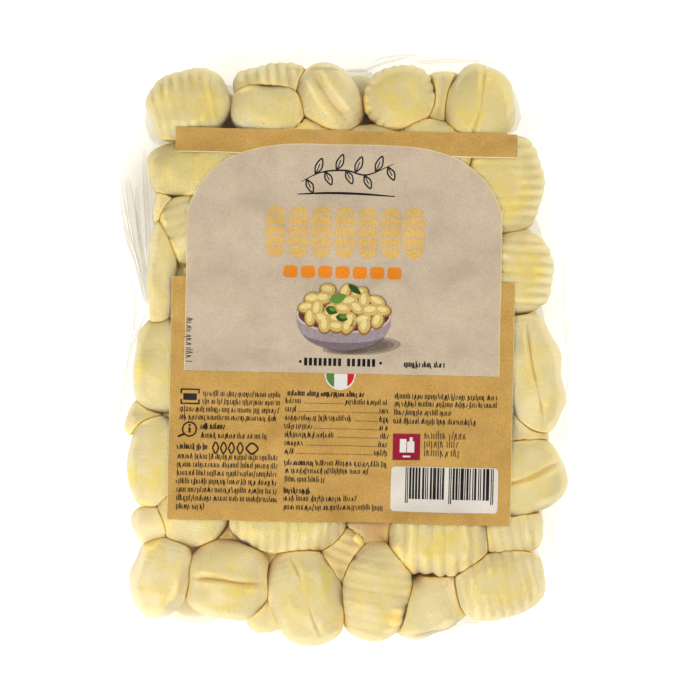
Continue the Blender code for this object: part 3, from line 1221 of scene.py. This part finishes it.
def buildOrnaments(front):
    # a row of ridged dumplings where a title would stand, and small blocks below it
    capsules, blocks = [], []
    for k in range(ornaments["titleCount"]):
        left = ornaments["titleLeft"] + k * ornaments["titlePitch"]
        low, high = ornaments["titleLow"], ornaments["titleHigh"]
        capsules += ridgedCapsule(left, low, ornaments["titleWidth"], high)
        left = ornaments["blockLeft"] + k * ornaments["blockPitch"]
        right = left + ornaments["blockWidth"]
        low, high = ornaments["blockLow"], ornaments["blockHigh"]
        blocks.append(roundedBox(left, low, right, high, ornaments["blockCorner"]))
    layInk("titleRow", capsules, "title", 3, front, alpha=0.95, grain=0.9, patches=0.3)
    layInk("orangeBlocks", blocks, "orange", 3, front, grain=0.5)
    # a pen-drawn sprig over a sweeping line
    pen = stroke([(-13.8, 38.2), (-5, 38.6), (5, 38.5), (14.4, 38.0)], 0.7, taper=True)
    stem = [(-12.8, 41.8), (-7, 44.6), (0, 45.2), (6, 44.0), (13.6, 47.2)]
    pen += stroke(stem, 0.5, taper=True)
    curve = smoothCurve(stem, 20)
    for k in range(ornaments["leafCount"]):
        x, y = curve[int((k + 0.6) / ornaments["leafCount"] * (len(curve) - 1))]
        side = 1 if k % 2 else -1
        tall = 4.6 if side > 0 else 3.8
        tip, bulge, heel = (y + side * tall * share for share in (1, 0.55, 0.4))
        pen += stroke([(x, y), (x + 0.1, bulge), (x + 1.9, tip), (x + 1.9, heel)], 0.42, closed=True)
        pen += stroke([(x + 0.3, y + side * 0.5), (x + 1.3, y + side * tall * 0.66)], 0.3)
    layInk("sprig", pen, "black", 3, front)


picture = {
    # rows of dumplings in the bowl, from the back: how many, height, half span
    "rows": ((3, 10.1, 4.4), (6, 7.8, 9.2), (7, 5.0, 11.2), (6, 2.2, 9.8), (4, 0.3, 5.6)),
    # half length and half width of a dumpling
    "dumpling": (2.8, 2.0),
    # each leaf: x, y, length, width, turn in degrees
    "darkLeaves": [(3.3, 10.9, 4.8, 1.8, -38), (-3.3, 4.7, 3.6, 2.5, -20), (-0.3, 2.6, 3.6, 2.2, -12)],
    "brightLeaves": [(-1.5, 8.3, 5.2, 3.0, 18), (-3.0, 5.0, 2.2, 1.1, -20), (0.0, 2.9, 2.2, 1.0, -12)],
}


def buildPicture(front):
    # a bowl of dumplings with leaves, in flat shapes
    for k, size in enumerate((1.0, 0.8, 0.6)):
        shade = [oval(7.6, -5.4, 9.4 * size, 2.5 * size, 5, 28)]
        shade += [oval(0.8, -6.6, 6.6 * size, 1.5 * size, 0, 24)]
        layInk(f"bowlShadow{k}", shade, "shadow", 3 + k * 0.2, front, alpha=0.3)
    angles = np.linspace(0, math.pi, 36)
    body = [(0.3 + 13.6 * math.cos(a), 2.6 - 9.3 * math.sin(a) ** 0.85) for a in angles]
    lower = [(0.5 + 12.2 * math.cos(a), -0.6 - 6.1 * math.sin(a) ** 0.85) for a in angles]
    lower += [(x, y * 0.55 - 0.9) for x, y in lower[-2:0:-1]]
    layInk("bowlBody", [body[::-1]], "bowl", 4, front, grain=1.4)
    layInk("bowlShade", [lower[::-1]], "bowlShade", 5, front, alpha=0.35, grain=1.4)
    layInk("bowlLip", [oval(0.3, 3.1, 13.7, 4.9, 0, 36)], "bowlRim", 6, front)
    layInk("bowlInside", [oval(0.3, 3.4, 13.1, 4.6, 0, 36)], "bowlInside", 7, front)
    rng = random.Random(8)
    layers = [[], [], []]
    for count, y, reach in picture["rows"]:
        for k in range(count):
            x = 0.3 + reach * (2 * k / (count - 1) - 1) + rng.uniform(-0.5, 0.5)
            spot = y + rng.uniform(-0.5, 0.5)
            long, wide = (size * rng.uniform(0.88, 1.08) for size in picture["dumpling"])
            turn = rng.choice((0, 15, -30, 65, 90)) + rng.uniform(-12, 12)
            layers[0].append(oval(x, spot, long, wide, turn, 16))
            layers[1].append(oval(x - 0.1, spot + 0.2, long * 0.86, wide * 0.82, turn, 16))
            layers[2].append(oval(x - 0.3, spot + 0.42, long * 0.6, wide * 0.42, turn, 14))
    # the lighter tones lie over the darker ones
    for k, color in enumerate(("dumplingShade", "dumpling", "dumplingLight")):
        layInk(f"dumplings{k}", layers[k], color, 8 + k, front, grain=0.8)
    for name, color, layer in (("darkLeaves", "leafDark", 11), ("brightLeaves", "leaf", 12)):
        layInk(name, [leafShape(*leaf) for leaf in picture[name]], color, layer, front)


def buildFlag(front):
    # a half round with three upright stripes hangs under the arch
    x, y, radius = -0.4, fields["archBottom"] - 0.1, 4.1

    def upright(low, high, size):
        ring = [(x + low, y), (x + high, y)]
        for u in np.linspace(high, low, 13):
            ring.append((x + u, y - 1.04 * math.sqrt(max(size**2 - u**2, 0))))
        return ring

    rim = radius + 0.45
    layInk("flagRim", [upright(-rim + 0.02, rim - 0.02, rim)], "white", 1, front)
    layInk("flagGreen", [upright(-radius + 0.05, -1.7, radius)], "green", 2, front)
    layInk("flagRed", [upright(2.1, radius - 0.05, radius)], "red", 2, front)


marks = {
    "height": 1.25,
    "weight": 0.24,
    "boldWeight": 0.32,
    # lines of filler marks: left end, height, length
    "bold": [
        (-40.4, -29.6, 6.9),
        (-46.9, -35.5, 9.2),
        (-15.5, -19.5, 22.4),
        (-15.8, -39.5, 8.4),
        (-16.0, -47.6, 7.8),
    ],
    "left": [
        (-39.8, -20.1, 22.5),
        (-39.8, -22.4, 22.5),
        (-46.7, -24.7, 29.0),
        (-46.7, -27.0, 29.0),
        (-40.3, -32.2, 19.5),
    ],
    # left end, height of the top line, step down, and each line's length
    "leftBlock": (-46.9, -38.3, 2.4, (29.2, 29.4, 29.0, 29.2, 29.2, 29.4, 8.4)),
    "middle": [
        (-6.8, -39.5, 20.8),
        (-15.8, -41.8, 24.3),
        (-15.8, -44.3, 11.5),
        (-16.0, -49.8, 21.1),
        (-16.0, -52.3, 29.0),
    ],
    "right": [(15.5, -19.7, 30.2), (15.5, -21.9, 30.2), (15.4, -24.4, 16.9), (15.4, -26.9, 24.2)],
    # rows of the small table: label length and value length
    "table": [(5.0, 12.9), (3.3, 2.8), (20.0, 2.8), (7.8, 3.0), (14.8, 2.5), (5.8, 3.2), (3.0, 4.2)],
    "tableTop": -21.7,
    "tableStep": 2.42,
    "wide": [(24.3, -30.9, 12.7), (24.3, -33.3, 9.8), (24.3, -35.9, 11.1)],
    # the caption: the bars' pitch, width, foot and head, and each group's left end and bars
    "captionBar": (1.4, 0.9, -11.3, -9.1),
    "captionWords": ((-10.9, 8), (1.5, 2), (4.5, 4)),
    # the weight line: left corners, half width, middle and half height of its lozenges
    "lozenges": (-36.8, -34.5, -32.2, -29.7),
    "lozenge": (0.85, -35.6, 1.6),
}


def buildMarks(front):
    rng = random.Random(31)
    height, weight = marks["height"], marks["weight"]
    small = []
    for x, y, width in marks["left"] + marks["middle"] + marks["right"]:
        small += tickRow(rng, x, y, width, height, weight)
    left, top, step, widths = marks["leftBlock"]
    for index, width in enumerate(widths):
        small += tickRow(rng, left, top - index * step, width, height, weight)
    for index, (labelWidth, valueWidth) in enumerate(marks["table"]):
        y = marks["tableTop"] - index * marks["tableStep"]
        small += tickRow(rng, -16.0, y, labelWidth, height, weight)
        small += tickRow(rng, 14.0 - valueWidth, y, valueWidth, height, weight)
        for x in np.arange(-15.6 + labelWidth, 13.6 - valueWidth, 0.5):
            small.append(plainBox(x, y - 0.6, x + 0.24, y - 0.38))
    layInk("smallMarks", small, "text", 2, front)
    bold = []
    for x, y, width in marks["bold"]:
        bold += tickRow(rng, x, y, width, height, marks["boldWeight"])
    bold += tickRow(rng, 17.9, -10.5, 11.9, 1.3, 0.36)
    # one line of marks runs down the arch's left side
    bold += [[(y - 44.4, -x) for x, y in ring] for ring in tickRow(rng, -1.9, 0.0, 13.6, 1.5, 0.22)]
    layInk("boldMarks", bold, "text", 3, front)
    # a caption of plain upright bars under the bowl, between two dots
    caption = [oval(-12.0, -10.2, 0.42, 0.42, 0, 10), oval(11.2, -10.2, 0.42, 0.42, 0, 10)]
    pitch, wide, foot, head = marks["captionBar"]
    for start, count in marks["captionWords"]:
        for k in range(count):
            x = start + k * pitch
            caption += box(x, foot, x + wide, head)
    layInk("captionBars", caption, "black", 3, front)
    # the weight line: four lozenges and a ring
    heavy = []
    half, y, tall = marks["lozenge"]
    for x in marks["lozenges"]:
        ring = [(x, y), (x + half, y + tall), (x + 2 * half, y), (x + half, y - tall)]
        heavy += stroke(ring, 0.42, closed=True)
    heavy += stroke([(-27.2, -35.6), (-25.5, -34.1), (-23.7, -35.6), (-25.5, -37.2)], 0.5, closed=True)
    layInk("weightMarks", heavy, "text", 2, front)
    light = []
    for x, y, width in marks["wide"]:
        light += tickRow(rng, x, y, width, 1.75, 0.26)
    layInk("lightMarks", light, "text", 2, front, alpha=0.72)


def buildIcons(front):
    # a cooking pot and a lens, drawn plainly
    icons = []
    for side, y in ((1, -18.9), (-1, -23.0)):
        for x in (-46.4, -41.3):
            icons += box(x, min(y, y - side * 1.2), x + 0.45, max(y, y - side * 1.2))
        icons += box(-46.4, y - 0.2, -40.85, y + 0.2)
    icons += box(-45.6, -22.0, -41.7, -20.1)
    icons += stroke(oval(-43.6, -30.4, 2.0, 2.0, 0, 12), 0.42, closed=True)
    icons += stroke([(-45.1, -31.8), (-46.9, -32.6)], 0.6)
    icons += box(-43.9, -31.4, -43.3, -29.9) + [oval(-43.6, -29.3, 0.35, 0.35, 0, 8)]
    layInk("icons", icons, "text", 2, front)
    # a dark red square with two white containers
    layInk("redSquare", [plainBox(15.2, -38.0, 23.1, -30.4)], "darkRed", 2, front, grain=0.6)
    jars = box(17.2, -35.8, 19.1, -31.9) + box(19.3, -35.8, 21.4, -32.6) + box(20.0, -32.6, 20.9, -31.4)
    jars += box(18.1, -37.2, 20.3, -36.7)
    layInk("whiteJars", jars, "white", 3, front)


barcode = {
    "panel": (14.9, -53.0, 45.8, -39.9),
    "corner": 1.1,
    "top": -40.1,
    "bottom": -49.3,
    "guardBottom": -50.5,
    "guardWidth": 0.28,
    "guardStep": 0.5,
    "halves": ((19.1, 31.2), (31.6, 43.7)),
    "barUnit": 0.31,
    "gapUnit": 0.25,
}


def buildBarcode(front):
    # bars only, with no digits
    layInk("barPanel", [roundedBox(*barcode["panel"], barcode["corner"])], "panel", 2, front)
    rng = random.Random(77)
    bars, top = [], barcode["top"]

    def guardBars(x):
        # a pair of thin bars that reach lower than the others
        pair = []
        for left in (x, x + barcode["guardStep"]):
            pair += box(left, barcode["guardBottom"], left + barcode["guardWidth"], top, 2.0)
        return pair

    for start, end in barcode["halves"]:
        bars += guardBars(start)
        x = start + 1.1
        while x < end - 0.6:
            width = barcode["barUnit"] * rng.choice((1, 2, 2, 3))
            bars += box(x, barcode["bottom"], x + width, top, 2.0)
            x += width + barcode["gapUnit"] * rng.choice((1, 1, 1, 2))
    bars += guardBars(barcode["halves"][-1][1])
    layInk("bars", bars, "black", 3, front, grain=0.0)


# Floor, lights and camera

studio = {
    "floor": (250, 250, 248),
    "floorHalf": 3000,
    "world": 0.9,
    "floorGlow": 0.18,
    "frameWidth": 198.7,
    "distance": 950.0,
    "sensor": 36.0,
    "lights": [
        # name, place, size, power
        ("keyLight", (-300, -420, 560), 520, 4.7),
        ("fillLight", (520, 380, 760), 700, 5.0),
    ],
}


def buildStudio():
    mesh = bpy.data.meshes.new("floor")
    half = studio["floorHalf"] * mm
    corners = [(-half, -half, 0), (half, -half, 0), (half, half, 0), (-half, half, 0)]
    mesh.from_pydata(corners, [], [(0, 1, 2, 3)])
    floor = bpy.data.objects.new("floor", mesh)
    scene.collection.objects.link(floor)
    material, tree, output = emptyMaterial("paleFloor")
    mottled = useMottle(tree, linear(*studio["floor"]), 2.0, 0.01, 60.0, 0.01)
    inputs = {
        "Base Color": mottled.outputs["Color"],
        "Roughness": 0.8,
        "Emission Color": (1, 1, 1, 1),
        "Emission Strength": studio["floorGlow"],
    }
    addPrincipled(tree, output, inputs)
    mesh.materials.append(material)
    world = bpy.data.worlds.new("softRoom")
    world.use_nodes = True
    sky = world.node_tree.nodes["Background"]
    sky.inputs["Color"].default_value = (1, 1, 1, 1)
    sky.inputs["Strength"].default_value = studio["world"]
    scene.world = world
    for name, place, size, power in studio["lights"]:
        data = bpy.data.lights.new(name, "AREA")
        data.shape = "SQUARE"
        data.size = size * mm
        data.energy = power
        lamp = bpy.data.objects.new(name, data)
        lamp.location = Vector(place) * mm
        lamp.rotation_euler = (-lamp.location).to_track_quat("-Z", "Y").to_euler()
        scene.collection.objects.link(lamp)
    data = bpy.data.cameras.new("camera")
    data.sensor_width = studio["sensor"]
    data.lens = studio["sensor"] * studio["distance"] / studio["frameWidth"]
    camera = bpy.data.objects.new("camera", data)
    camera.location = Vector((0, 0, packThickness + studio["distance"])) * mm
    scene.collection.objects.link(camera)
    scene.camera = camera
    scene.view_settings.view_transform = "Standard"
    scene.view_settings.look = "None"


buildStudio()
print("studio set")
allPoints, allFaces = buildGnocchi(doughMaterial())
print("gnocchi laid in the pouch")
frontMap, backMap = drapeMaps(allPoints, allFaces)
clearFilm = filmMaterial()
buildFilm(frontMap, backMap, clearFilm)
buildPleats(frontMap, clearFilm)
print("film drawn over them")
buildFields(frontMap)
buildOrnaments(frontMap)
buildPicture(frontMap)
buildFlag(frontMap)
buildMarks(frontMap)
buildIcons(frontMap)
buildBarcode(frontMap)
print("print laid on the film")
